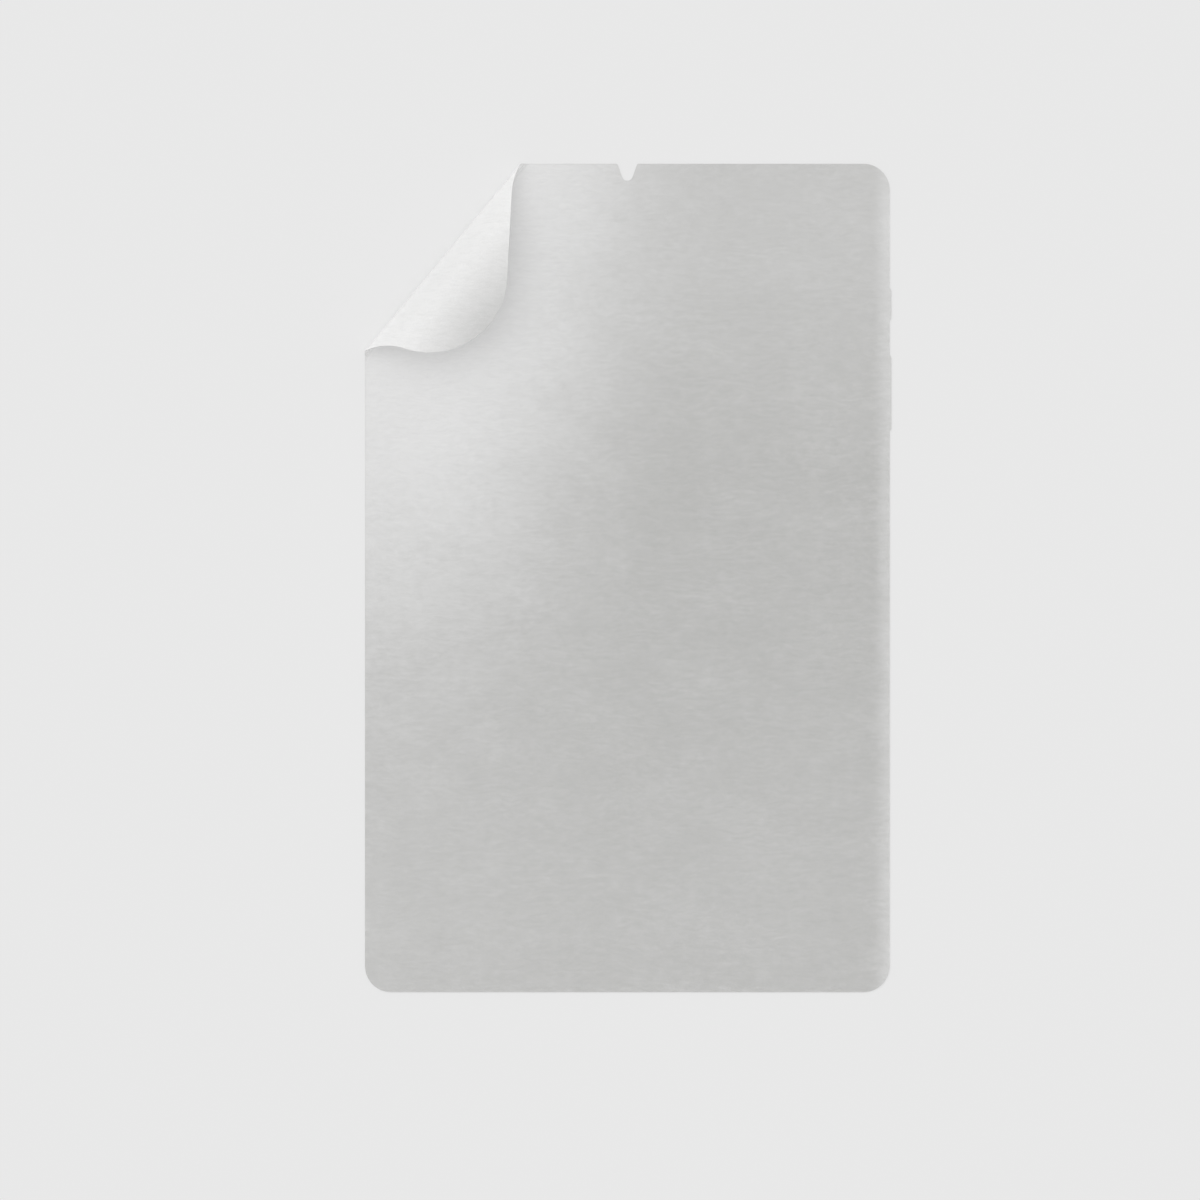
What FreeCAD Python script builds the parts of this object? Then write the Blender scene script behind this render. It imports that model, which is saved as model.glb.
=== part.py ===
import FreeCAD, Part
import math
import os

import Sketcher

# Paper-feel screen protector: one die-cut sheet of matte plastic film that lies with its
# adhesive face down, one corner peeled up, rolled back and left arching over the sheet.
# Millimetres and degrees. The adhesive face is at z = 0, the sheet is centred on the
# origin, and +Y points to the edge with the notch.

NODE = "protector_film"

SIZES = [
    # the die-cut sheet
    ("film_width", 152.4, "side to side, without the two tabs"),
    ("film_height", 240.6, "from the plain edge to the notched edge"),
    ("film_thickness", 0.2, "film and adhesive together"),
    ("corner_radius", 7.6, "the three corners that lie flat"),
    # the notch in the middle of the top edge, which clears a front camera
    ("notch_depth", 4.9, "from the top edge to the root of the notch"),
    ("notch_root_radius", 1.6, "round end of the notch"),
    ("notch_wall_angle", 20.0, "how far each wall leans from upright"),
    ("notch_lip_radius", 0.5, "rounding where a wall meets the top edge"),
    # the two shallow tabs on the right edge
    ("tab_height", 0.5, "how far a tab stands out from the edge"),
    ("tab_ramp", 1.2, "length of the slope at each end of a tab"),
    ("upper_tab_drop", 35.8, "from the top edge to the upper tab"),
    ("upper_tab_length", 10.2, "with its slopes"),
    ("lower_tab_drop", 55.3, "from the top edge to the lower tab"),
    ("lower_tab_length", 22.7, "with its slopes"),
    # the peel: the fold runs straight from the top edge to the left edge
    ("peel_along_top", 45.3, "from the peeled corner's place to the fold, along the top"),
    ("peel_down_side", 54.4, "from the peeled corner's place to the fold, down the side"),
    ("roll_radius", 2.2, "outside of the roll, along the fold"),
    ("flap_lift_angle", 40.0, "slope at which the flap leaves the roll"),
    ("flap_droop_angle", 12.0, "slope at which the arched flap ends"),
    # the flap's outline, seen from above
    ("flare_radius", 19.0, "hollow curve that leaves the top edge"),
    ("side_setback", 2.15, "from the top end of the fold to the straight side"),
    ("side_lean", 2.9, "how far the straight side leans from upright"),
    ("nose_radius", 22.5, "round nose, which was the sheet's corner"),
    ("nose_sag", 0.7, "how far the nose hangs below the fold's lower end"),
    ("foot_radius", 16.0, "hollow curve that returns to the left edge"),
]

doc = FreeCAD.newDocument("screen_protector")
sheet = doc.addObject("Spreadsheet::Sheet", "Sizes")
for row, (alias, number, meaning) in enumerate(SIZES, start=1):
    sheet.set(f"A{row}", alias)
    sheet.set(f"B{row}", str(number))
    sheet.setAlias(f"B{row}", alias)
    sheet.set(f"C{row}", meaning)
doc.recompute()

# Places that several sketches share, as expressions on the sheet's cells
RIGHT = "(Sizes.film_width / 2)"
LEFT = "(-Sizes.film_width / 2)"
TOP = "(Sizes.film_height / 2)"
BOTTOM = "(-Sizes.film_height / 2)"
FOLD_TOP_X = f"({LEFT} + Sizes.peel_along_top)"
FOLD_SIDE_Y = f"({TOP} - Sizes.peel_down_side)"
FOLD_LENGTH = "sqrt(Sizes.peel_along_top ^ 2 + Sizes.peel_down_side ^ 2)"
FOLD_ANGLE = "atan(Sizes.peel_along_top / Sizes.peel_down_side)"

# How far the nose's centre lies below and left of the fold's top end, and how far the
# nose comes in from the fold
NOSE_DOWN = "(Sizes.peel_down_side + Sizes.nose_sag - Sizes.nose_radius)"
NOSE_LEFT = (
    "((Sizes.side_setback + Sizes.nose_radius) / cos(Sizes.side_lean)"
    f" + {NOSE_DOWN} * tan(Sizes.side_lean))"
)
FLAP_REACH = (
    f"(({NOSE_DOWN} * Sizes.peel_along_top - {NOSE_LEFT} * Sizes.peel_down_side)"
    f" / {FOLD_LENGTH} + Sizes.nose_radius)"
)

# The curl is made a little too large all round, and then trimmed to its outline
CURL_END = f"({FLAP_REACH} + Sizes.roll_radius)"
CURL_LENGTH = f"({FOLD_LENGTH} + 4 * Sizes.roll_radius)"
EDGE_TRIM = "(3 * Sizes.roll_radius)"
FLAP_TRIM = f"({CURL_END} + 3 * Sizes.roll_radius)"

# The numbers by which a sketch knows the points of a line or an arc
START, END, CENTRE = range(1, 4)


def amount(expression):
    result = sheet.evalExpression(expression)
    return float(getattr(result, "Value", result))


def point(x, y):
    return FreeCAD.Vector(amount(x), amount(y), 0)


def heading(angle):
    return FreeCAD.Vector(math.cos(math.radians(angle)), math.sin(math.radians(angle)), 0)


def angle_of(vector):
    return math.degrees(math.atan2(vector.y, vector.x)) % 360


def new_sketch(name, plane_role):
    sketch = film.newObject("Sketcher::SketchObject", name)
    plane = [feature for feature in film.Origin.OriginFeatures if feature.Role == plane_role][0]
    sketch.AttachmentSupport = [(plane, "")]
    sketch.MapMode = "FlatFace"
    return sketch


def add_line(sketch, start, end, construction=False):
    return sketch.addGeometry(Part.LineSegment(start, end), construction)


def add_arc(sketch, centre, radius, start_angle, end_angle):
    circle = Part.Circle(centre, FreeCAD.Vector(0, 0, 1), radius)
    arc = Part.ArcOfCircle(circle, math.radians(start_angle), math.radians(end_angle))
    return sketch.addGeometry(arc, False)


def rule(sketch, kind, *target):
    sketch.addConstraint(Sketcher.Constraint(kind, *target))


def dimension(sketch, kind, *target, size):
    start_value = math.radians(amount(size)) if kind == "Angle" else amount(size)
    index = sketch.addConstraint(Sketcher.Constraint(kind, *target, start_value))
    sketch.setExpression(f"Constraints[{index}]", size)


def place(sketch, geometry, end, x=None, y=None):
    if x is not None:
        dimension(sketch, "DistanceX", geometry, end, size=x)
    if y is not None:
        dimension(sketch, "DistanceY", geometry, end, size=y)


def add_corners(sketch, corners, closed):
    """Joins corners, given as pairs of expressions, with lines; an open run's two ends stay unplaced."""
    points = [point(x, y) for x, y in corners]
    ends = points[1:] + points[:1] if closed else points[1:]
    lines = [add_line(sketch, start, end) for start, end in zip(points, ends)]
    for line, following, (x, y) in zip(lines, lines[1:] + lines[:closed], corners[1:] + corners[:closed]):
        rule(sketch, "Coincident", line, END, following, START)
        place(sketch, following, START, x, y)
    return lines


def finish_sketch(sketch):
    doc.recompute()
    if not sketch.FullyConstrained:
        raise RuntimeError(f"{sketch.Name} isn't fully constrained")


def cut_upwards(sketch, name, depth=None):
    before = film.Shape.Volume
    pocket = film.newObject("PartDesign::Pocket", name)
    pocket.Profile = sketch
    pocket.Reversed = True
    if depth:
        pocket.setExpression("Length", depth)
    else:
        pocket.Type = "ThroughAll"
    doc.recompute()
    if film.Shape.Volume >= before:
        raise RuntimeError(f"{name} cut nothing")


film = doc.addObject("PartDesign::Body", NODE)
film.Label = NODE

# Flat sheet: the die-cut outline, which ends at the line where the film starts to bend
outline = new_sketch("sheet_outline", "XY_Plane")

# Notch: round root, two leaning walls and rounded lips, alike on both sides
root_radius = amount("Sizes.notch_root_radius")
lip_radius = amount("Sizes.notch_lip_radius")
wall_angle = amount("Sizes.notch_wall_angle")
ROOT_CENTRE_Y = f"({TOP} - Sizes.notch_depth + Sizes.notch_root_radius)"
root_centre = point("0", ROOT_CENTRE_Y)
off_wall = heading(-wall_angle)
wall_foot = root_centre + off_wall * root_radius
lip_offset = root_centre + off_wall * (root_radius + lip_radius)
lip_rise = amount(TOP) - lip_radius - lip_offset.y
lip_centre = lip_offset + heading(90 - wall_angle) * (lip_rise / math.cos(math.radians(wall_angle)))
wall_top = lip_centre - off_wall * lip_radius
lip_start = lip_centre + FreeCAD.Vector(0, lip_radius, 0)


def mirrored(vector):
    return FreeCAD.Vector(-vector.x, vector.y, 0)


notch_root = add_arc(outline, root_centre, root_radius, 180 + wall_angle, 360 - wall_angle)
right_wall = add_line(outline, wall_foot, wall_top)
right_lip = add_arc(outline, lip_centre, lip_radius, 90, 180 - wall_angle)
left_wall = add_line(outline, mirrored(wall_foot), mirrored(wall_top))
left_lip = add_arc(outline, mirrored(lip_centre), lip_radius, wall_angle, 90)
rule(outline, "Tangent", notch_root, END, right_wall, START)
rule(outline, "Tangent", right_wall, END, right_lip, END)
rule(outline, "Tangent", notch_root, START, left_wall, START)
rule(outline, "Tangent", left_wall, END, left_lip, START)
place(outline, notch_root, CENTRE, x="0", y=ROOT_CENTRE_Y)
dimension(outline, "Radius", notch_root, size="Sizes.notch_root_radius")
dimension(outline, "Radius", right_lip, size="Sizes.notch_lip_radius")
dimension(outline, "Radius", left_lip, size="Sizes.notch_lip_radius")
dimension(outline, "Angle", right_wall, size="90 - Sizes.notch_wall_angle")
dimension(outline, "Angle", left_wall, size="90 + Sizes.notch_wall_angle")

# Edges and corners: the right edge carries the two tabs
corner = amount("Sizes.corner_radius")
corner_x = amount(RIGHT) - corner
corner_y = amount(TOP) - corner
bend_top = point(f"{FOLD_TOP_X} + Sizes.roll_radius * {FOLD_LENGTH} / Sizes.peel_down_side", TOP)
bend_side = point(LEFT, f"{FOLD_SIDE_Y} - Sizes.roll_radius * {FOLD_LENGTH} / Sizes.peel_along_top")


def tab_corners(tab):
    tab_top = f"{TOP} - Sizes.{tab}_drop"
    tab_foot = f"{tab_top} - Sizes.{tab}_length"
    tab_face = f"{RIGHT} + Sizes.tab_height"
    return [
        (RIGHT, tab_top),
        (tab_face, f"{tab_top} - Sizes.tab_ramp"),
        (tab_face, f"{tab_foot} + Sizes.tab_ramp"),
        (RIGHT, tab_foot),
    ]


right_edge_corners = [
    (RIGHT, f"{TOP} - Sizes.corner_radius"),
    *tab_corners("upper_tab"),
    *tab_corners("lower_tab"),
    (RIGHT, f"{BOTTOM} + Sizes.corner_radius"),
]
top_left_edge = add_line(outline, bend_top, mirrored(lip_start))
top_right_edge = add_line(outline, lip_start, FreeCAD.Vector(corner_x, amount(TOP), 0))
right_edge = add_corners(outline, right_edge_corners, closed=False)
bottom_edge = add_line(
    outline, FreeCAD.Vector(corner_x, amount(BOTTOM), 0), FreeCAD.Vector(-corner_x, amount(BOTTOM), 0)
)
left_edge = add_line(outline, FreeCAD.Vector(amount(LEFT), -corner_y, 0), bend_side)
top_right = add_arc(outline, FreeCAD.Vector(corner_x, corner_y, 0), corner, 0, 90)
bottom_right = add_arc(outline, FreeCAD.Vector(corner_x, -corner_y, 0), corner, 270, 360)
bottom_left = add_arc(outline, FreeCAD.Vector(-corner_x, -corner_y, 0), corner, 180, 270)
rule(outline, "Tangent", top_left_edge, END, left_lip, END)
rule(outline, "Tangent", top_right_edge, START, right_lip, START)
rule(outline, "Tangent", top_right_edge, END, top_right, END)
rule(outline, "Tangent", right_edge[0], START, top_right, START)
rule(outline, "Tangent", right_edge[-1], END, bottom_right, END)
rule(outline, "Tangent", bottom_edge, START, bottom_right, START)
rule(outline, "Tangent", bottom_edge, END, bottom_left, END)
rule(outline, "Tangent", left_edge, START, bottom_left, START)
for edge in (top_left_edge, top_right_edge, bottom_edge):
    rule(outline, "Horizontal", edge)
for edge in (right_edge[0], right_edge[-1], left_edge):
    rule(outline, "Vertical", edge)
for arc in (top_right, bottom_right, bottom_left):
    dimension(outline, "Radius", arc, size="Sizes.corner_radius")
place(outline, top_left_edge, START, y=TOP)
place(outline, top_right_edge, START, y=TOP)
place(outline, bottom_edge, START, y=BOTTOM)
place(outline, left_edge, START, x=LEFT)

# Bend line: parallel to the fold, a roll's radius further in
fold = add_line(outline, point(FOLD_TOP_X, TOP), point(LEFT, FOLD_SIDE_Y), construction=True)
bend = add_line(outline, bend_side, bend_top)
place(outline, fold, START, FOLD_TOP_X, TOP)
place(outline, fold, END, LEFT, FOLD_SIDE_Y)
rule(outline, "Parallel", bend, fold)
rule(outline, "Coincident", bend, START, left_edge, END)
rule(outline, "Coincident", bend, END, top_left_edge, START)
dimension(outline, "Distance", fold, START, bend, size="Sizes.roll_radius")
finish_sketch(outline)

flat_sheet = film.newObject("PartDesign::Pad", "flat_sheet")
flat_sheet.Profile = outline
flat_sheet.setExpression("Length", "Sizes.film_thickness")
doc.recompute()

# Curl: the film's section square to the fold, a tight roll and then a wide arch, drawn
# in from the fold along x and up along y. Both arcs share a ray where they meet.
section = new_sketch("curl_section", "XZ_Plane")
section.AttachmentOffset = FreeCAD.Placement(
    FreeCAD.Vector(), FreeCAD.Rotation(FreeCAD.Vector(0, -1, 0), amount(FOLD_ANGLE))
)
section.setExpression("AttachmentOffset.Rotation.Angle", FOLD_ANGLE)
section.setExpression("AttachmentOffset.Base.x", f"({FOLD_TOP_X} + {LEFT}) / 2")
section.setExpression("AttachmentOffset.Base.z", f"-({TOP} + {FOLD_SIDE_Y}) / 2")

thickness = amount("Sizes.film_thickness")
roll = amount("Sizes.roll_radius")
lift = amount("Sizes.flap_lift_angle")
droop = amount("Sizes.flap_droop_angle")
roll_centre = FreeCAD.Vector(roll, roll, 0)
meeting_ray = heading(90 + lift)
meeting_point = roll_centre + meeting_ray * roll
tip_ray = heading(90 - droop)
arch = (amount(CURL_END) - meeting_point.x) / (tip_ray.x - meeting_ray.x)
arch_centre = meeting_point - meeting_ray * arch
bend_foot = FreeCAD.Vector(roll, 0, 0)
bend_head = FreeCAD.Vector(roll, thickness, 0)

bend_face = add_line(section, bend_foot, bend_head)
roll_outside = add_arc(section, roll_centre, roll, 90 + lift, 270)
roll_inside = add_arc(section, roll_centre, roll - thickness, 90 + lift, 270)
arch_outside = add_arc(section, arch_centre, arch, 90 - droop, 90 + lift)
arch_inside = add_arc(section, arch_centre, arch - thickness, 90 - droop, 90 + lift)
tip = add_line(section, arch_centre + tip_ray * (arch - thickness), arch_centre + tip_ray * arch)
ray = add_line(section, roll_centre, meeting_point, construction=True)
rule(section, "Coincident", bend_face, START, roll_outside, END)
rule(section, "Coincident", bend_face, END, roll_inside, END)
rule(section, "Coincident", roll_inside, CENTRE, roll_outside, CENTRE)
rule(section, "Coincident", arch_inside, CENTRE, arch_outside, CENTRE)
rule(section, "Tangent", roll_outside, START, arch_outside, END)
rule(section, "Tangent", roll_inside, START, arch_inside, END)
rule(section, "Coincident", tip, START, arch_inside, START)
rule(section, "Coincident", tip, END, arch_outside, START)
rule(section, "PointOnObject", arch_outside, CENTRE, tip)
rule(section, "Coincident", ray, START, roll_outside, CENTRE)
rule(section, "Coincident", ray, END, roll_outside, START)
rule(section, "Vertical", bend_face)
place(section, roll_outside, CENTRE, "Sizes.roll_radius", "Sizes.roll_radius")
place(section, bend_face, START, x="Sizes.roll_radius")
dimension(section, "Radius", roll_outside, size="Sizes.roll_radius")
dimension(section, "DistanceY", bend_face, START, bend_face, END, size="Sizes.film_thickness")
dimension(section, "Angle", ray, size="90 + Sizes.flap_lift_angle")
dimension(section, "Angle", tip, size="90 - Sizes.flap_droop_angle")
place(section, tip, END, x=CURL_END)
finish_sketch(section)

curl = film.newObject("PartDesign::Pad", "curl")
curl.Profile = section
curl.SideType = "Symmetric"
curl.setExpression("Length", CURL_LENGTH)
doc.recompute()

# The lower half of the roll ends where the sheet's own top and left edges end
edge_trim = new_sketch("edge_trim", "XY_Plane")
add_corners(
    edge_trim,
    [
        (LEFT, TOP),
        (f"{FOLD_TOP_X} + {EDGE_TRIM}", TOP),
        (f"{FOLD_TOP_X} + {EDGE_TRIM}", f"{TOP} + {EDGE_TRIM}"),
        (f"{LEFT} - {EDGE_TRIM}", f"{TOP} + {EDGE_TRIM}"),
        (f"{LEFT} - {EDGE_TRIM}", f"{FOLD_SIDE_Y} - {EDGE_TRIM}"),
        (LEFT, f"{FOLD_SIDE_Y} - {EDGE_TRIM}"),
    ],
    closed=True,
)
finish_sketch(edge_trim)
cut_upwards(edge_trim, "edge_cut", "Sizes.roll_radius")

# The flap above the roll ends at its outline: a hollow flare from the fold's top end, a
# straight side, the round nose, and a hollow foot that returns to the fold's lower end.
# What lies between that outline and a frame round the whole curl is cut away.
flap_trim = new_sketch("flap_trim", "XY_Plane")
flap_trim.setExpression("AttachmentOffset.Base.z", "Sizes.roll_radius")
add_corners(
    flap_trim,
    [
        (f"{LEFT} - {FLAP_TRIM}", f"{TOP} + {FLAP_TRIM}"),
        (f"{FOLD_TOP_X} + {FLAP_TRIM}", f"{TOP} + {FLAP_TRIM}"),
        (f"{FOLD_TOP_X} + {FLAP_TRIM}", f"{FOLD_SIDE_Y} - {FLAP_TRIM}"),
        (f"{LEFT} - {FLAP_TRIM}", f"{FOLD_SIDE_Y} - {FLAP_TRIM}"),
    ],
    closed=True,
)

fold_top = point(FOLD_TOP_X, TOP)
fold_side = point(LEFT, FOLD_SIDE_Y)
flare_radius = amount("Sizes.flare_radius")
nose_radius = amount("Sizes.nose_radius")
foot_radius = amount("Sizes.foot_radius")
setback = amount("Sizes.side_setback")
lean = amount("Sizes.side_lean")
off_side = heading(-lean)
down_side = heading(270 - lean)
nose_centre = fold_top + FreeCAD.Vector(-amount(NOSE_LEFT), -amount(NOSE_DOWN), 0)
flare_run = math.sqrt(flare_radius**2 - (flare_radius - setback) ** 2)
flare_centre = fold_top + off_side * (flare_radius - setback) + down_side * flare_run
side_start = flare_centre - off_side * flare_radius
side_end = nose_centre + off_side * nose_radius
to_foot = fold_side - nose_centre
centres_apart = nose_radius + foot_radius
turn = (centres_apart**2 + to_foot.Length**2 - foot_radius**2) / (2 * centres_apart * to_foot.Length)
foot_angle = angle_of(to_foot) + math.degrees(math.acos(turn))
foot_centre = nose_centre + heading(foot_angle) * centres_apart

flare = add_arc(flap_trim, flare_centre, flare_radius, angle_of(fold_top - flare_centre), 180 - lean)
side = add_line(flap_trim, side_start, side_end)
nose = add_arc(flap_trim, nose_centre, nose_radius, foot_angle, 360 - lean)
foot = add_arc(
    flap_trim, foot_centre, foot_radius, foot_angle - 180, angle_of(fold_side - foot_centre)
)
up_left_edge = add_line(flap_trim, fold_side, point(LEFT, TOP))
along_top_edge = add_line(flap_trim, point(LEFT, TOP), fold_top)
rule(flap_trim, "Tangent", flare, END, side, START)
rule(flap_trim, "Tangent", side, END, nose, END)
rule(flap_trim, "Tangent", nose, START, foot, START)
rule(flap_trim, "Coincident", foot, END, up_left_edge, START)
rule(flap_trim, "Coincident", up_left_edge, END, along_top_edge, START)
rule(flap_trim, "Coincident", along_top_edge, END, flare, START)
place(flap_trim, up_left_edge, START, LEFT, FOLD_SIDE_Y)
place(flap_trim, along_top_edge, START, LEFT, TOP)
place(flap_trim, flare, START, FOLD_TOP_X, TOP)
place(flap_trim, nose, CENTRE, y=f"{TOP} - {NOSE_DOWN}")
dimension(flap_trim, "Angle", side, size="270 - Sizes.side_lean")
dimension(flap_trim, "Distance", flare, START, side, size="Sizes.side_setback")
dimension(flap_trim, "Radius", flare, size="Sizes.flare_radius")
dimension(flap_trim, "Radius", nose, size="Sizes.nose_radius")
dimension(flap_trim, "Radius", foot, size="Sizes.foot_radius")
finish_sketch(flap_trim)
cut_upwards(flap_trim, "flap_cut")

# Nothing is written unless every object recomputed and the film is one valid solid
for item in doc.Objects:
    if "Invalid" in item.State or "Error" in item.State:
        raise RuntimeError(f"{item.Name} failed: {item.State}")
if film.Shape.isNull() or not film.Shape.isValid() or len(film.Shape.Solids) != 1:
    raise RuntimeError("the film isn't one valid solid")

os.makedirs("parts", exist_ok=True)
film.Shape.exportStep(f"parts/{NODE}.step")
print(NODE, "volume", round(film.Shape.Volume, 2), "mm3, box", film.Shape.BoundBox)
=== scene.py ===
import math

import bmesh
import bpy
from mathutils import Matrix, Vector


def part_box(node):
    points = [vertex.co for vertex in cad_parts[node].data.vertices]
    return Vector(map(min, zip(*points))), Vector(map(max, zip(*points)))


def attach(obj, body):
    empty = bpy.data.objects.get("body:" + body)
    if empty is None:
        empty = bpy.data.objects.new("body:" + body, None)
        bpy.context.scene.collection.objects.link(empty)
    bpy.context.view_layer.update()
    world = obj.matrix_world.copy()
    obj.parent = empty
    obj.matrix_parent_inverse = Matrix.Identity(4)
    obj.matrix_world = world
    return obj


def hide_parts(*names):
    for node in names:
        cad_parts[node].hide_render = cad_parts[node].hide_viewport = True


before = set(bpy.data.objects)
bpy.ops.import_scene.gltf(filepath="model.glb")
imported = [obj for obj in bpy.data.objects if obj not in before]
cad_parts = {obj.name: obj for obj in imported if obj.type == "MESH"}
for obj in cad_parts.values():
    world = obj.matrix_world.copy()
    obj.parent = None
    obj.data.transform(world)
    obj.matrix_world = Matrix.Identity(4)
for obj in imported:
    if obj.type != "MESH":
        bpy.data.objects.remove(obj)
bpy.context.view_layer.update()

# The film: one sheet of matte, paper-grained polyester with an adhesive back, die-cut with a
# camera notch and two shallow tabs. It lies on its adhesive face. One corner has been peeled
# up, rolled back along a straight fold and let go, so that it arches over the sheet.
MM = 0.001
film_low, film_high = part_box("protector_film")
left, right = film_low.x, -film_low.x
bottom, top = film_low.y, film_high.y
film_thickness = 0.2 * MM
corner_radius = 7.6 * MM

SHEET, FLAP = range(2)
ARC_STEP = math.radians(5)
FEWEST_ARC_STEPS = 4
film = bmesh.new()


def heading(angle):
    """The flat direction at an angle from +X."""
    return Vector((math.cos(angle), math.sin(angle), 0))


def angle_of(vector):
    """The angle of a flat direction from +X."""
    return math.atan2(vector.y, vector.x)


def line_to(pen, place):
    """Draws a straight edge on from the pen and returns its end."""
    drawn = bmesh.ops.extrude_vert_indiv(film, verts=[pen])["verts"][0]
    drawn.co = place
    return drawn


def arc_to(pen, centre, turn):
    """Draws an arc about a centre on from the pen and returns its end."""
    count = max(FEWEST_ARC_STEPS, round(abs(turn) / ARC_STEP))
    drawn = bmesh.ops.spin(film, geom=[pen], cent=centre, axis=(0, 0, 1), angle=turn, steps=count)
    return [v for v in drawn["geom_last"] if isinstance(v, bmesh.types.BMVert)][0]


# The fold runs straight from the top edge to the left edge
fold_along_top = 45.3 * MM
fold_down_left = 54.4 * MM
fold_top = Vector((left + fold_along_top, top, 0))
fold_side = Vector((left, top - fold_down_left, 0))
along_fold = (fold_side - fold_top).normalized()
into_sheet = Vector((-along_fold.y, along_fold.x, 0))

# Camera notch: rounded lips, two leaning walls and a round root
notch_depth = 4.9 * MM
root_radius = 1.6 * MM
lip_radius = 0.5 * MM
wall_angle = math.radians(20)
root_centre = Vector((0, top - notch_depth + root_radius, 0))
lip_drop = top - lip_radius - root_centre.y + (root_radius + lip_radius) * math.sin(wall_angle)
lip_run = (root_radius + lip_radius) * math.cos(wall_angle) + lip_drop * math.tan(wall_angle)
lip_turn = math.pi / 2 - wall_angle

fold_top_point = bmesh.ops.create_vert(film, co=fold_top)["vert"][0]
pen = line_to(fold_top_point, (-lip_run, top, 0))
pen = arc_to(pen, (-lip_run, top - lip_radius, 0), -lip_turn)
pen = line_to(pen, root_centre + heading(math.pi + wall_angle) * root_radius)
pen = arc_to(pen, root_centre, math.pi - 2 * wall_angle)
pen = line_to(pen, Vector((lip_run, top - lip_radius, 0)) - heading(-wall_angle) * lip_radius)
pen = arc_to(pen, (lip_run, top - lip_radius, 0), -lip_turn)

# Right edge, with its two tabs, and the three flat corners. A tab has its distance down from the
# top edge and its length.
tab_height = 0.5 * MM
tab_ramp = 1.2 * MM
tabs = [(35.8 * MM, 10.2 * MM), (55.3 * MM, 22.7 * MM)]
pen = line_to(pen, (right - corner_radius, top, 0))
pen = arc_to(pen, (right - corner_radius, top - corner_radius, 0), -math.pi / 2)
for drop, length in tabs:
    pen = line_to(pen, (right, top - drop, 0))
    pen = line_to(pen, (right + tab_height, top - drop - tab_ramp, 0))
    pen = line_to(pen, (right + tab_height, top - drop - length + tab_ramp, 0))
    pen = line_to(pen, (right, top - drop - length, 0))
pen = line_to(pen, (right, bottom + corner_radius, 0))
pen = arc_to(pen, (right - corner_radius, bottom + corner_radius, 0), -math.pi / 2)
pen = line_to(pen, (left + corner_radius, bottom, 0))
pen = arc_to(pen, (left + corner_radius, bottom + corner_radius, 0), -math.pi / 2)
fold_side_point = line_to(pen, fold_side)
bmesh.ops.contextual_create(film, geom=[fold_top_point, fold_side_point])
sheet_face = bmesh.ops.contextual_create(film, geom=film.edges[:])["faces"][0]
sheet_face.material_index = SHEET

# The flap, seen from above: a hollow flare, a straight side, the round nose and a hollow foot
flare_radius = 19.0 * MM
side_setback = 2.15 * MM
side_lean = math.radians(2.9)
nose_radius = 22.5 * MM
nose_sag = 0.7 * MM
foot_radius = 16.0 * MM
off_side = heading(-side_lean)
nose_down = fold_top.y - fold_side.y + nose_sag - nose_radius
nose_left = (side_setback + nose_radius) / math.cos(side_lean) + nose_down * math.tan(side_lean)
nose_centre = fold_top - Vector((nose_left, nose_down, 0))
flare_run = math.sqrt(flare_radius**2 - (flare_radius - side_setback) ** 2)
flare_centre = fold_top + off_side * (flare_radius - side_setback)
flare_centre += heading(-math.pi / 2 - side_lean) * flare_run
flare_turn = math.pi - side_lean - angle_of(fold_top - flare_centre)
to_foot = fold_side - nose_centre
centres_apart = nose_radius + foot_radius
foot_turn = centres_apart**2 + to_foot.length**2 - foot_radius**2
foot_angle = angle_of(to_foot) + math.acos(foot_turn / (2 * centres_apart * to_foot.length))
foot_centre = nose_centre + heading(foot_angle) * centres_apart

sheet_edges = set(film.edges)
pen = arc_to(fold_top_point, flare_centre, flare_turn)
pen = line_to(pen, nose_centre + off_side * nose_radius)
pen = arc_to(pen, nose_centre, foot_angle + side_lean)
pen = arc_to(pen, foot_centre, angle_of(fold_side - foot_centre) - foot_angle - math.pi)
bmesh.ops.weld_verts(film, targetmap={pen: fold_side_point})
fold_edge = film.edges.get((fold_top_point, fold_side_point))
flap_edges = [e for e in film.edges if e not in sheet_edges]
flap_face = bmesh.ops.contextual_create(film, geom=flap_edges + [fold_edge])["faces"][0]
flap_face.material_index = FLAP

# The section of the curl: a tight roll up from the sheet, then a wide arch that ends drooping
roll_radius = 2.2 * MM
lift_angle = math.radians(40)
droop_angle = math.radians(12)
join_in = roll_radius * (1 - math.sin(lift_angle))
join_up = roll_radius * (1 + math.cos(lift_angle))
curl_end = (nose_centre - fold_top).dot(into_sheet) + nose_radius + roll_radius
arch_radius = (curl_end - join_in) / (math.sin(lift_angle) + math.sin(droop_angle))
arch_in = join_in + arch_radius * math.sin(lift_angle)
arch_up = join_up - arch_radius * math.cos(lift_angle)

# Cuts where the roll and the arch bend, and across the flap
ROLL_STEP = math.radians(6)
ARCH_STEP = math.radians(2)
FLAP_STEP = 1.2 * MM
CUT_SNAP = 0.0001 * MM


def cut_lines(part, direction, places):
    """Cuts the sheet or the flap along a straight line through each place."""
    for place in places:
        faces = [f for f in film.faces if f.material_index == part]
        geom = set(faces)
        for face in faces:
            geom.update(face.edges)
            geom.update(face.verts)
        bmesh.ops.bisect_plane(
            film, geom=list(geom), dist=CUT_SNAP, plane_co=place, plane_no=direction
        )


def steps(first, last, size):
    """Values evenly spread between two ends, no further apart than size."""
    count = max(1, math.ceil((last - first) / size))
    return [first + (last - first) * i / count for i in range(1, count)]


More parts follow.
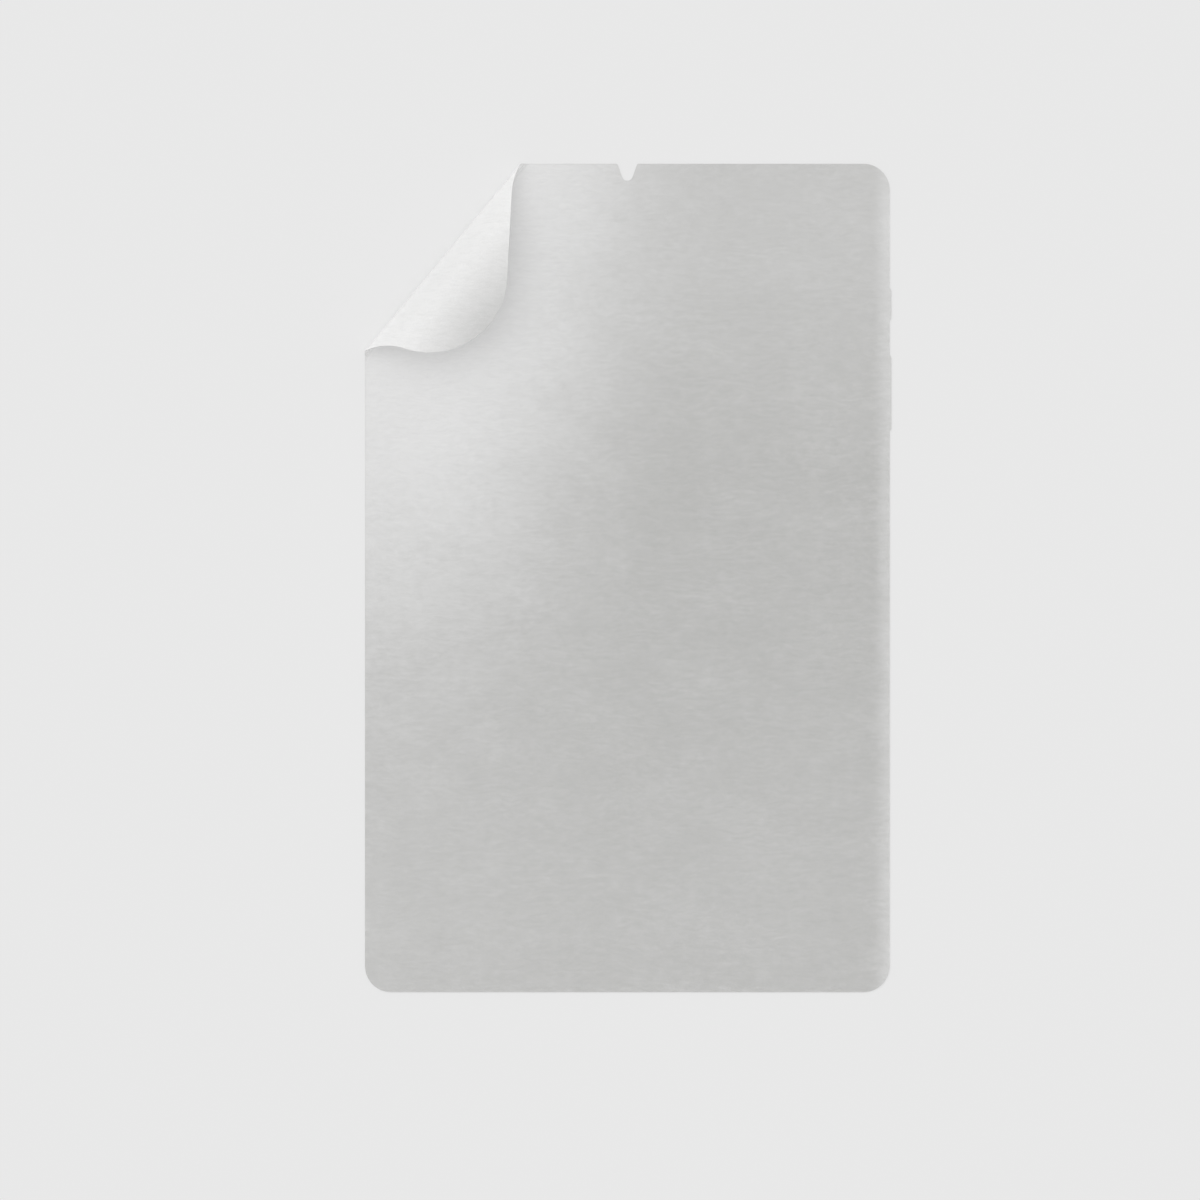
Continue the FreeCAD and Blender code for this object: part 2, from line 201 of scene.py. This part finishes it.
roll_turns = steps(0, math.pi / 2, ROLL_STEP) + [math.pi / 2]
sheet_bends = [roll_radius * (1 - math.cos(turn)) for turn in roll_turns]
cut_lines(SHEET, into_sheet, [fold_top + into_sheet * bend for bend in sheet_bends])
flap_bends = [bend for bend in sheet_bends if bend < join_in]
flap_bends.append(join_in)
for turn in steps(-lift_angle, droop_angle, ARCH_STEP):
    flap_bends.append(arch_in + arch_radius * math.sin(turn))
cut_lines(FLAP, into_sheet, [fold_top + into_sheet * bend for bend in flap_bends])
fold_length = (fold_side - fold_top).length
flap_cuts = steps(0, fold_length, FLAP_STEP)
cut_lines(FLAP, along_fold, [fold_top + along_fold * cut for cut in flap_cuts])

# A light grid over the flat sheet, which keeps its faces small
GRID_STEP = 8 * MM
columns = steps(left, right, GRID_STEP)
rows = steps(bottom, top, GRID_STEP)
cut_lines(SHEET, Vector((1, 0, 0)), [Vector((x, 0, 0)) for x in columns])
cut_lines(SHEET, Vector((0, 1, 0)), [Vector((0, y, 0)) for y in rows])

# Every point rises to its place on the curl. It keeps where its grain lies, and how far along the
# film it is from the line where the film leaves the surface.
grain_place = film.verts.layers.float_vector.new("grain_place")
peel_path = film.verts.layers.float.new("peel_path")
roll_run = roll_radius * (math.pi - lift_angle)
for vert in film.verts:
    part = vert.link_faces[0].material_index
    inward = (vert.co - fold_top).dot(into_sheet)
    turn = math.acos(1 - min(1, max(0, inward / roll_radius)))
    rise = math.sin(turn) * roll_radius
    if part == SHEET and inward > roll_radius:
        up = 0
        path = roll_radius - inward
    elif part == SHEET:
        up = roll_radius - rise
        path = roll_radius * (math.pi / 2 - turn)
    elif inward < join_in:
        up = roll_radius + rise
        path = roll_radius * (math.pi / 2 + turn)
    else:
        turn = math.asin((inward - arch_in) / arch_radius)
        up = arch_up + arch_radius * math.cos(turn)
        path = roll_run + arch_radius * (turn + lift_angle)
    grain_inward = roll_radius - path
    if part == FLAP:
        grain_inward = roll_radius + path - math.pi * roll_radius
    vert[grain_place] = vert.co + into_sheet * (grain_inward - inward)
    vert[peel_path] = path
    vert.co.z = up

# Thickness, from the adhesive face towards the matte face
MATTE, ADHESIVE, EDGE = range(3)
bmesh.ops.recalc_face_normals(film, faces=film.faces[:])
lowest = min(film.faces, key=lambda face: face.calc_center_median().z)
if lowest.normal.z > 0:
    bmesh.ops.reverse_faces(film, faces=film.faces[:])
adhesive_faces = film.faces[:]
made = bmesh.ops.solidify(film, geom=adhesive_faces, thickness=film_thickness)["geom"]
matte_faces = [g for g in made if isinstance(g, bmesh.types.BMFace)]
for face in film.faces:
    face.material_index = EDGE
    face.smooth = True
for face in adhesive_faces:
    face.material_index = ADHESIVE
for face in matte_faces:
    face.material_index = MATTE
for edge in film.edges:
    sides = {face.material_index for face in edge.link_faces}
    edge.smooth = len(sides) == 1

flat_area = sum(face.calc_area() for face in adhesive_faces)
film_mesh = bpy.data.meshes.new("protector_film_sheet")
film.to_mesh(film_mesh)
film.free()
film_piece = bpy.data.objects.new("protector_film_sheet", film_mesh)
bpy.context.collection.objects.link(film_piece)


class Wire:
    """A socket in a material; sums on it add Math nodes."""

    def __init__(self, tree, socket=None):
        self.tree = tree
        self.socket = socket

    def add(self, kind, settings, sockets, output=0):
        node = self.tree.nodes.new("ShaderNode" + kind)
        for name, value in settings.items():
            setattr(node, name, value)
        for name, value in sockets.items():
            if isinstance(value, Wire):
                self.tree.links.new(value.socket, node.inputs[name])
            else:
                node.inputs[name].default_value = value
        return Wire(self.tree, node.outputs[output]) if node.outputs else None

    def maths(self, operation, first, second):
        return self.add("Math", {"operation": operation}, {0: first, 1: second})

    def __add__(self, other):
        return self.maths("ADD", self, other)

    def __sub__(self, other):
        return self.maths("SUBTRACT", self, other)

    def __rsub__(self, other):
        return self.maths("SUBTRACT", other, self)

    def __mul__(self, other):
        return self.maths("MULTIPLY", self, other)

    __radd__ = __add__
    __rmul__ = __mul__


def new_material(name):
    """An empty material and a wire to build it with."""
    material = bpy.data.materials.new(name)
    material.use_nodes = True
    material.node_tree.nodes.clear()
    return material, Wire(material.node_tree)


def finish_face(material, wire, sockets):
    """Ends a material with its shader and gives it to the film, in the order of its slots."""
    shader = wire.add("BsdfPrincipled", {}, sockets)
    wire.add("OutputMaterial", {}, {"Surface": shader})
    film_mesh.materials.append(material)


def blend(wire, share, first, second):
    """From the first colour at a share of 0 to the second at 1."""
    sockets = {0: share, 6: (*first, 1), 7: (*second, 1)}
    return wire.add("Mix", {"data_type": "RGBA"}, sockets, 2)


def ramp(wire, value, start, end):
    """0 at start, 1 at end, eased between."""
    sockets = {"Value": value, "From Min": start, "From Max": end}
    return wire.add("MapRange", {"interpolation_type": "SMOOTHSTEP"}, sockets)


# Paper grain: the length and width of each kind of mark, its strength, and how far fibres sway
LONG_FIBRE = (5.2 * MM, 1.5 * MM)
LONG_STRENGTH = 0.66
SHORT_FIBRE = (2.2 * MM, 0.7 * MM)
SHORT_STRENGTH = 0.5
SPECK = (0.5 * MM, 0.35 * MM)
SPECK_STRENGTH = 0.5
CLOUD = (24 * MM, 12 * MM)
CLOUD_STRENGTH = 0.4
FIBRE_WAVE = (7 * MM, 5 * MM)
FIBRE_SWAY = 1.6 * MM
NOISE_MIDDLE = 0.5


def grain_places(wire):
    """Where the grain lies, which the mesh carries."""
    return wire.add("Attribute", {"attribute_name": "grain_place"}, {}, "Vector")


def noise(wire, place, grain, detail):
    """Flat noise with grains of the given length and width, spread about zero."""
    size = (1 / grain[0], 1 / grain[1], 0)
    scaled = wire.add("VectorMath", {"operation": "MULTIPLY"}, {0: place, 1: size})
    sockets = {"Vector": scaled, "Scale": 1.0, "Detail": detail}
    return wire.add("TexNoise", {"noise_dimensions": "2D"}, sockets) - NOISE_MIDDLE


def paper_grain(wire, place):
    """Short wavy fibres lying across the film, fine specks and faint clouds, about zero."""
    sway = noise(wire, place, FIBRE_WAVE, 0) * FIBRE_SWAY
    shift = wire.add("CombineXYZ", {}, {"Y": sway})
    waved = wire.add("VectorMath", {"operation": "ADD"}, {0: place, 1: shift})
    fibres = noise(wire, waved, LONG_FIBRE, 1) * LONG_STRENGTH
    fibres += noise(wire, waved, SHORT_FIBRE, 0) * SHORT_STRENGTH
    specks = noise(wire, place, SPECK, 0) * SPECK_STRENGTH
    clouds = noise(wire, place, CLOUD, 1) * CLOUD_STRENGTH
    return fibres + specks + clouds


# Matte face: warm grey and see-through, least opaque at the top and most in the middle. It is
# painted paler and clearer towards the peeled corner and a little down the left edge, a painted
# sheen standing in for soft light from the upper left, and a painted highlight lightens a strip
# along the right edge.
MATTE_GREY = (0.33, 0.328, 0.308)
# Pale colour for the grain, and for the painted sheen and painted edge highlight
MATTE_GRAIN_AND_SHEEN_WHITE = (0.92, 0.92, 0.915)
TOP_OPACITY = 0.24
MIDDLE_OPACITY = 0.33
FOOT_OPACITY = 0.30
TOP_FADE = (110 * MM, 20 * MM)
FOOT_FADE = (-10 * MM, -115 * MM)
# Painted sheen: where it starts and is full across the film, its lean with height, how weak it is
# low down
SHEEN_START = 16 * MM
SHEEN_START_LEAN = 0.10
FULL_SHEEN = -74 * MM
FULL_SHEEN_LEAN = 0.28
LOW_SHEEN = 0.2
SHEEN_HEIGHT_FADE = (-70 * MM, 80 * MM)
# Width of the painted highlight along the right edge
EDGE_HIGHLIGHT_WIDTH = 5.5 * MM
MATTE_RELIEF = 0.05 * MM
MATTE_RELIEF_STRENGTH = 0.35
MATTE_ROUGHNESS = 0.62
MATTE_ROUGHNESS_SPREAD = 0.15

# How far the painted sheen, the grain and the painted edge highlight whiten the matte face, and
# how far they clear it
SHEEN_WHITENS = 0.9
FIBRE_WHITENS = 0.5
EDGE_HIGHLIGHT_WHITENS = 0.3
SHEEN_CLEARS = 0.85
FIBRE_CLEARS = 0.09
SHEEN_FIBRE_CLEARS = 0.03
EDGE_HIGHLIGHT_CLEARS = 0.06

matte, wire = new_material("matte_film_face")
place = grain_places(wire)
fibre = paper_grain(wire, place)
across = wire.add("SeparateXYZ", {}, {"Vector": place}, "X")
height = wire.add("SeparateXYZ", {}, {"Vector": place}, "Y")
# Painted sheen: paler and clearer towards the peeled corner and the upper left, as if lit there
sheen_start_line = height * SHEEN_START_LEAN + SHEEN_START
full_sheen_line = height * FULL_SHEEN_LEAN + FULL_SHEEN
sheen_strength = LOW_SHEEN + ramp(wire, height, *SHEEN_HEIGHT_FADE) * (1 - LOW_SHEEN)
painted_sheen = ramp(wire, across, sheen_start_line, full_sheen_line) * sheen_strength
# Painted highlight: a lighter, clearer strip along the right edge
painted_edge_highlight = ramp(wire, across, right - EDGE_HIGHLIGHT_WIDTH, right)
dense = TOP_OPACITY + ramp(wire, height, *TOP_FADE) * (MIDDLE_OPACITY - TOP_OPACITY)
dense -= ramp(wire, height, *FOOT_FADE) * (MIDDLE_OPACITY - FOOT_OPACITY)
# The base colour whitens with the real grain and with the painted sheen and painted edge
# highlight
grain_sheen_and_highlight_whitening = painted_sheen * painted_sheen * SHEEN_WHITENS + fibre * FIBRE_WHITENS + painted_edge_highlight * EDGE_HIGHLIGHT_WHITENS
opacity = dense * (1 - painted_sheen * SHEEN_CLEARS)
opacity -= fibre * (FIBRE_CLEARS + painted_sheen * SHEEN_FIBRE_CLEARS)
opacity -= painted_edge_highlight * EDGE_HIGHLIGHT_CLEARS
relief = {"Height": fibre, "Strength": MATTE_RELIEF_STRENGTH, "Distance": MATTE_RELIEF}
sockets = {
    "Base Color": blend(wire, grain_sheen_and_highlight_whitening, MATTE_GREY, MATTE_GRAIN_AND_SHEEN_WHITE),
    "Alpha": opacity,
    "Roughness": fibre * MATTE_ROUGHNESS_SPREAD + MATTE_ROUGHNESS,
    "Normal": wire.add("Bump", {}, relief),
}
finish_face(matte, wire, sockets)

# Adhesive face: smoother, with its own milk tone where it lifts off, most of it along the fold,
# and painted greyer towards the drooping nose of the flap as painted shade, where the flap turns
# from the lamp. Most of the light that the milk-toned film stops goes on through it as a glow, so
# its shadow is light.
ADHESIVE_WHITE = (0.95, 0.95, 0.945)
# Grey of the laid face, and of the painted shade at the nose of the flap
ADHESIVE_GREY_AND_SHADE = (0.50, 0.50, 0.49)
LAID_OPACITY = 0.05
LIFTED_OPACITY = 0.63
LIFT_FADE = (0, 3 * MM)
NOSE_FADE = (9 * MM, 33 * MM)
# How far painted shade greys the flap towards its drooping nose
NOSE_PAINTED_SHADE = 0.72
NOSE_CLEARS = 0.1
GRAIN_WHITENS = 0.2
GRAIN_OPACITY = 0.04
GLOW = 0.75
ADHESIVE_RELIEF = 0.02 * MM
ADHESIVE_RELIEF_STRENGTH = 0.2
ADHESIVE_ROUGHNESS = 0.38
ADHESIVE_ROUGHNESS_SPREAD = 0.12
adhesive, wire = new_material("adhesive_film_face")
fibre = paper_grain(wire, grain_places(wire))
path = wire.add("Attribute", {"attribute_name": "peel_path"}, {}, "Fac")
lifted = ramp(wire, path, *LIFT_FADE)
nose = ramp(wire, path, *NOSE_FADE)
# Own milk tone where the film lifts, painted greyer towards the nose as shade
milk_tone_and_nose_shade = lifted * (1 - nose * NOSE_PAINTED_SHADE)
glow = wire.add("LightPath", {}, {}, "Is Shadow Ray") * GLOW
opacity = LAID_OPACITY + lifted * (LIFTED_OPACITY - nose * NOSE_CLEARS) * (1 - glow)
opacity += fibre * GRAIN_OPACITY
relief = {"Height": fibre, "Strength": ADHESIVE_RELIEF_STRENGTH, "Distance": ADHESIVE_RELIEF}
sockets = {
    "Base Color": blend(wire, milk_tone_and_nose_shade + fibre * GRAIN_WHITENS, ADHESIVE_GREY_AND_SHADE, ADHESIVE_WHITE),
    "Alpha": opacity,
    "Roughness": fibre * ADHESIVE_ROUGHNESS_SPREAD + ADHESIVE_ROUGHNESS,
    "Normal": wire.add("Bump", {}, relief),
}
finish_face(adhesive, wire, sockets)

# Cut edge: the clear polyester scatters light where the blade went through
EDGE_GREY = (0.50, 0.50, 0.49)
EDGE_WHITE = (0.86, 0.86, 0.855)
EDGE_OPACITY = 0.55
EDGE_GRAIN = (0.3 * MM, 0.3 * MM)
EDGE_ROUGHNESS = 0.5
EDGE_ROUGHNESS_SPREAD = 0.2
cut_edge, wire = new_material("cut_film_edge")
place = wire.add("TexCoord", {}, {}, "Object")
rough = noise(wire, place, EDGE_GRAIN, 1)
sockets = {
    "Base Color": blend(wire, rough + NOISE_MIDDLE, EDGE_GREY, EDGE_WHITE),
    "Alpha": EDGE_OPACITY,
    "Roughness": rough * EDGE_ROUGHNESS_SPREAD + EDGE_ROUGHNESS,
}
finish_face(cut_edge, wire, sockets)

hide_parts("protector_film")
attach(film_piece, "root")

# Floor: a plain pale board that the film lies on. It is a hair lower than the adhesive face, so
# that the two faces never fall together.
FLOOR_GREY = (0.81, 0.81, 0.81)
FLOOR_SIZE = 3.0
floor_gap = 0.1 * MM
board = bmesh.new()
bmesh.ops.create_grid(board, x_segments=1, y_segments=1, size=FLOOR_SIZE)
bmesh.ops.translate(board, verts=board.verts[:], vec=(0, 0, -floor_gap))
board_mesh = bpy.data.meshes.new("floor")
board.to_mesh(board_mesh)
board.free()
floor = bpy.data.objects.new("floor", board_mesh)
bpy.context.collection.objects.link(floor)
board_material, wire = new_material("floor_board")
shader = wire.add("BsdfDiffuse", {}, {"Color": (*FLOOR_GREY, 1)})
wire.add("OutputMaterial", {}, {"Surface": shader})
board_mesh.materials.append(board_material)

# Light: one wide soft lamp from beyond the peeled corner, and an even pale room. Lamp and room
# share a level at which colours look as they are written.
KEY_SHARE = 0.35
KEY_RISE = math.radians(60)
KEY_SPREAD = math.radians(60)
key_data = bpy.data.lights.new("key_lamp", "SUN")
key_data.energy = KEY_SHARE * math.pi / math.sin(KEY_RISE)
key_data.angle = KEY_SPREAD
key = bpy.data.objects.new("key_lamp", key_data)
towards_key = -into_sheet * math.cos(KEY_RISE) + Vector((0, 0, math.sin(KEY_RISE)))
key.rotation_euler = towards_key.to_track_quat("Z", "Y").to_euler()
bpy.context.collection.objects.link(key)

# The room itself shows as more of the floor's grey
room = bpy.data.worlds.new("room")
room.use_nodes = True
room.node_tree.nodes.clear()
wire = Wire(room.node_tree)
fill = wire.add("Background", {}, {"Color": (1, 1, 1, 1), "Strength": 1 - KEY_SHARE})
shown = wire.add("Background", {}, {"Color": (*FLOOR_GREY, 1), "Strength": 1.0})
seen = wire.add("LightPath", {}, {}, "Is Camera Ray")
glossy = wire.add("LightPath", {}, {}, "Is Glossy Ray")
through = wire.add("LightPath", {}, {}, "Is Transmission Ray")
sky = wire.add("MixShader", {}, {0: seen + glossy + through, 1: fill, 2: shown})
wire.add("OutputWorld", {}, {"Surface": sky})
bpy.context.scene.world = room
bpy.context.scene.view_settings.view_transform = "Standard"

# Camera: straight above, with the notched edge at the top of the picture
FRAME_WIDTH = 348.6 * MM
FRAME_MIDDLE = (-7.93 * MM, -6.41 * MM)
LENS = 250
SENSOR = 36
camera_data = bpy.data.cameras.new("camera")
camera_data.lens = LENS
camera_data.sensor_width = SENSOR
camera = bpy.data.objects.new("camera", camera_data)
camera.location = (*FRAME_MIDDLE, FRAME_WIDTH * LENS / SENSOR)
bpy.context.collection.objects.link(camera)
bpy.context.scene.camera = camera
